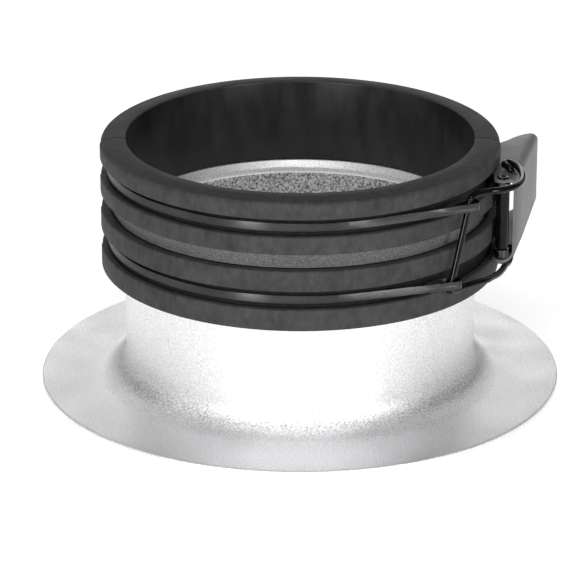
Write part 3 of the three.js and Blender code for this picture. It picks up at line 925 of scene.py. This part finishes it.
def make_lever(material):
    section = lever_section()
    rings = []
    for distance in (-8, 0, LEVER_RISE_START, 20, 27, 34, LEVER_LENGTH + 2):
        rings.append([beside_lever(distance, p.x, tapered_height(distance, p.y)) for p in section])
    sheet = solid_object("lever_sheet", rings)
    plan = column("lever_plan", lever_plan(), LEVER_BOTTOM - 2, LEVER_TOP + 2)
    ribs = column("rib_clearance", rib_clearance_plan(), LEVER_BOTTOM - 2, LEVER_TOP - LEVER_BEND)
    side = solid_object("lever_side", [
        [beside_lever(p.x, depth, p.y) for p in lever_side()] for depth in (-5, 35)
    ])
    pin_hole = hole("pin_hole", PIN, PIN_RADIUS)
    hook_hole = hole("hook_hole", BAIL_PIVOT, WIRE_RADIUS)
    for tool in (plan, side):
        cut(sheet, tool, "INTERSECT")
    for tool in (ribs, pin_hole, hook_hole):
        cut(sheet, tool, "DIFFERENCE")
    bpy.context.view_layer.update()
    depsgraph = bpy.context.evaluated_depsgraph_get()
    shaped = bpy.data.meshes.new_from_object(sheet.evaluated_get(depsgraph))
    builder = bmesh.new()
    builder.from_mesh(shaped)
    bmesh.ops.remove_doubles(builder, verts=builder.verts, dist=0.002)
    soften_edges(builder, 40, 0.18)
    for extra in (sheet, plan, side, ribs, pin_hole, hook_hole):
        bpy.data.objects.remove(extra)
    piece = new_piece("folded_lever", builder, material, sharp_angle=40)
    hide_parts("lever")
    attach(piece, "lever")


# ---- wire bail ---------------------------------------------------------------------------

def bail_route():
    """Up through the lever's lower hole, the lower arm, the leg, the upper arm and its hook."""
    leg_low = raised(polar(LEG_FROM_AXIS, LEG_LOWER_AZIMUTH - 0.5), LOWER_BAND_Z - 1.9)
    leg_high = raised(polar(LEG_FROM_AXIS, LEG_UPPER_AZIMUTH + 0.5), UPPER_BAND_Z + 1.9)
    lower_arm = [
        (59.7, -14.5, 40.7),
        (58.5, -17.6, 40.6),
        (57.4, -21.5, 40.7),
        (56, -25.2, 40.9),
        (54.1, -28.8, 41.3),
        (52.2, -32.2, 41.7),
        (49, -35.3, 42),
        (45.7, -38.3, 42.1),
        (43.2, -41.2, 42.2),
    ]
    upper_arm = [
        (48.6, -36.2, 68.7),
        (52.2, -34.4, 68.9),
        (56.3, -32.8, 68.9),
        (59.7, -30.2, 68.9),
        (61.8, -26.2, 68.9),
        (62.6, -20.9, 68.9),
        (62.1, -15.2, 68.9),
        (60.7, -11, 68.9),
        (58.9, -9.3, 68.8),
        (58, -11, 68.7),
        (59.4, -12.8, 68.3),
    ]
    return [
        raised(BAIL_PIVOT, 45.4),
        raised(BAIL_PIVOT, 42),
        *(Vector(point) for point in lower_arm),
        *(leg_low.lerp(leg_high, share) for share in (0, 0.04, 0.12, 0.4, 0.7, 0.88, 0.96, 1)),
        *(Vector(point) for point in upper_arm),
        raised(BAIL_PIVOT, 66.8),
        raised(BAIL_PIVOT, 64),
    ]


def round_wire(route, radius, sides=28):
    """Rings round a route, carried along it without twist, with rounded ends."""
    rings = []
    side = Vector((1, 0, 0))
    last = len(route) - 1
    for i, point in enumerate(route):
        direction = (route[min(i + 1, last)] - route[max(i - 1, 0)]).normalized()
        side = (side - direction * side.dot(direction)).normalized()
        other = direction.cross(side)
        from_end = min((point - route[0]).length, (point - route[-1]).length)
        share = min(from_end / radius, 1)
        girth = radius * math.sqrt(1 - (1 - share) ** 2) if share < 1 else radius
        girth = max(girth, 0.15 * radius)
        ring = []
        for k in range(sides):
            angle = 2 * math.pi * k / sides
            ring.append(point + (side * math.cos(angle) + other * math.sin(angle)) * girth)
        rings.append(ring)
    return rings


def make_bail(material):
    builder = bmesh.new()
    skin(builder, round_wire(catmull_rom(bail_route(), 14), WIRE_RADIUS))
    piece = new_piece("bent_bail", builder, material)
    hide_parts("bail_wire")
    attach(piece, "bail")


# ---- studio ------------------------------------------------------------------------------

def make_floor():
    """A wide pale sheet, lit from within a little so that the object stands on plain white."""
    builder = bmesh.new()
    bmesh.ops.create_grid(builder, x_segments=8, y_segments=8, size=3000)
    material = bpy.data.materials.new("studio_floor")
    material.use_nodes = True
    shader = material.node_tree.nodes["Principled BSDF"]
    shader.inputs["Base Color"].default_value = (0.9, 0.9, 0.9, 1)
    shader.inputs["Roughness"].default_value = 0.9
    shader.inputs["Specular IOR Level"].default_value = 0.0
    shader.inputs["Emission Color"].default_value = (1, 1, 1, 1)
    shader.inputs["Emission Strength"].default_value = FLOOR_GLOW
    floor = new_piece("studio_floor", builder, material)
    floor.location.z = -0.0002


def add_softbox(name, azimuth, elevation, distance, width, height, power):
    """An area light at an azimuth and elevation round the object, turned to face it."""
    data = bpy.data.lights.new(name, "AREA")
    data.shape = "RECTANGLE"
    data.size = width
    data.size_y = height
    data.energy = power
    light = bpy.data.objects.new(name, data)
    rise = math.radians(elevation)
    spoke = outward(azimuth)
    place = Vector((spoke.x * math.cos(rise), spoke.y * math.cos(rise), math.sin(rise))) * distance
    light.location = place + Vector((0, 0, 0.04))
    light.rotation_euler = (-place).to_track_quat("-Z", "Y").to_euler()
    bpy.context.scene.collection.objects.link(light)


def make_lights():
    for name, azimuth, elevation, width, height, power in SOFTBOXES:
        add_softbox(name, azimuth, elevation, SOFTBOX_DISTANCE, width, height, power)
    world = bpy.data.worlds.new("studio_air")
    world.use_nodes = True
    background = world.node_tree.nodes["Background"]
    background.inputs["Color"].default_value = (1, 1, 1, 1)
    background.inputs["Strength"].default_value = AIR_STRENGTH
    bpy.context.scene.world = world


def make_camera():
    data = bpy.data.cameras.new("view_camera")
    data.lens = CAMERA_LENS
    data.sensor_width = 36
    data.clip_start = 0.05
    data.clip_end = 20
    camera = bpy.data.objects.new("view_camera", data)
    rise = math.radians(CAMERA_ELEVATION)
    offset = Vector((0, -math.cos(rise), math.sin(rise))) * CAMERA_DISTANCE
    camera.location = (CAMERA_TARGET + offset) * MM
    camera.rotation_euler = (math.pi / 2 - rise, 0, 0)
    bpy.context.scene.collection.objects.link(camera)
    bpy.context.scene.camera = camera
    bpy.context.scene.view_settings.view_transform = "Standard"


def main():
    steel = band_steel()
    gloss = gloss_black_steel()
    rubber = [
        moulded_rubber("collar_rubber", 0.022, 0.06),
        # painted shade inside the bore
        bore_shaded_rubber(),
        groove_rubber(),
        # painted shade in the grooves
        groove_shade_rubber(),
        # painted shade: the top face's rubber is darker than the sides'
        moulded_rubber("collar_top_shaded_rubber", 0.017, 0.044),
    ]
    make_flange_tube(blasted_aluminium(), bore_shaded_aluminium())
    make_collar_half("front_collar", "collar_front", 0, rubber, SEAM_PROUD)
    make_collar_half("back_collar", "collar_back", 180, rubber, 0)
    make_band(
        "upper_band", UPPER_BAND_Z, UPPER_BAND_REAR_DROP,
        UPPER_FLEX_AZIMUTH, LEG_UPPER_AZIMUTH, WELD_BEHIND_UPPER_LEG, steel,
    )
    make_band(
        "lower_band", LOWER_BAND_Z, 0,
        LOWER_FLEX_AZIMUTH, LEG_LOWER_AZIMUTH, WELD_BEHIND_LOWER_LEG, steel,
    )
    make_hinge_pin(gloss)
    make_hinge_sleeve(gloss)
    make_lever(lever_coating())
    make_bail(gloss)
    make_floor()
    make_lights()
    make_camera()


main()
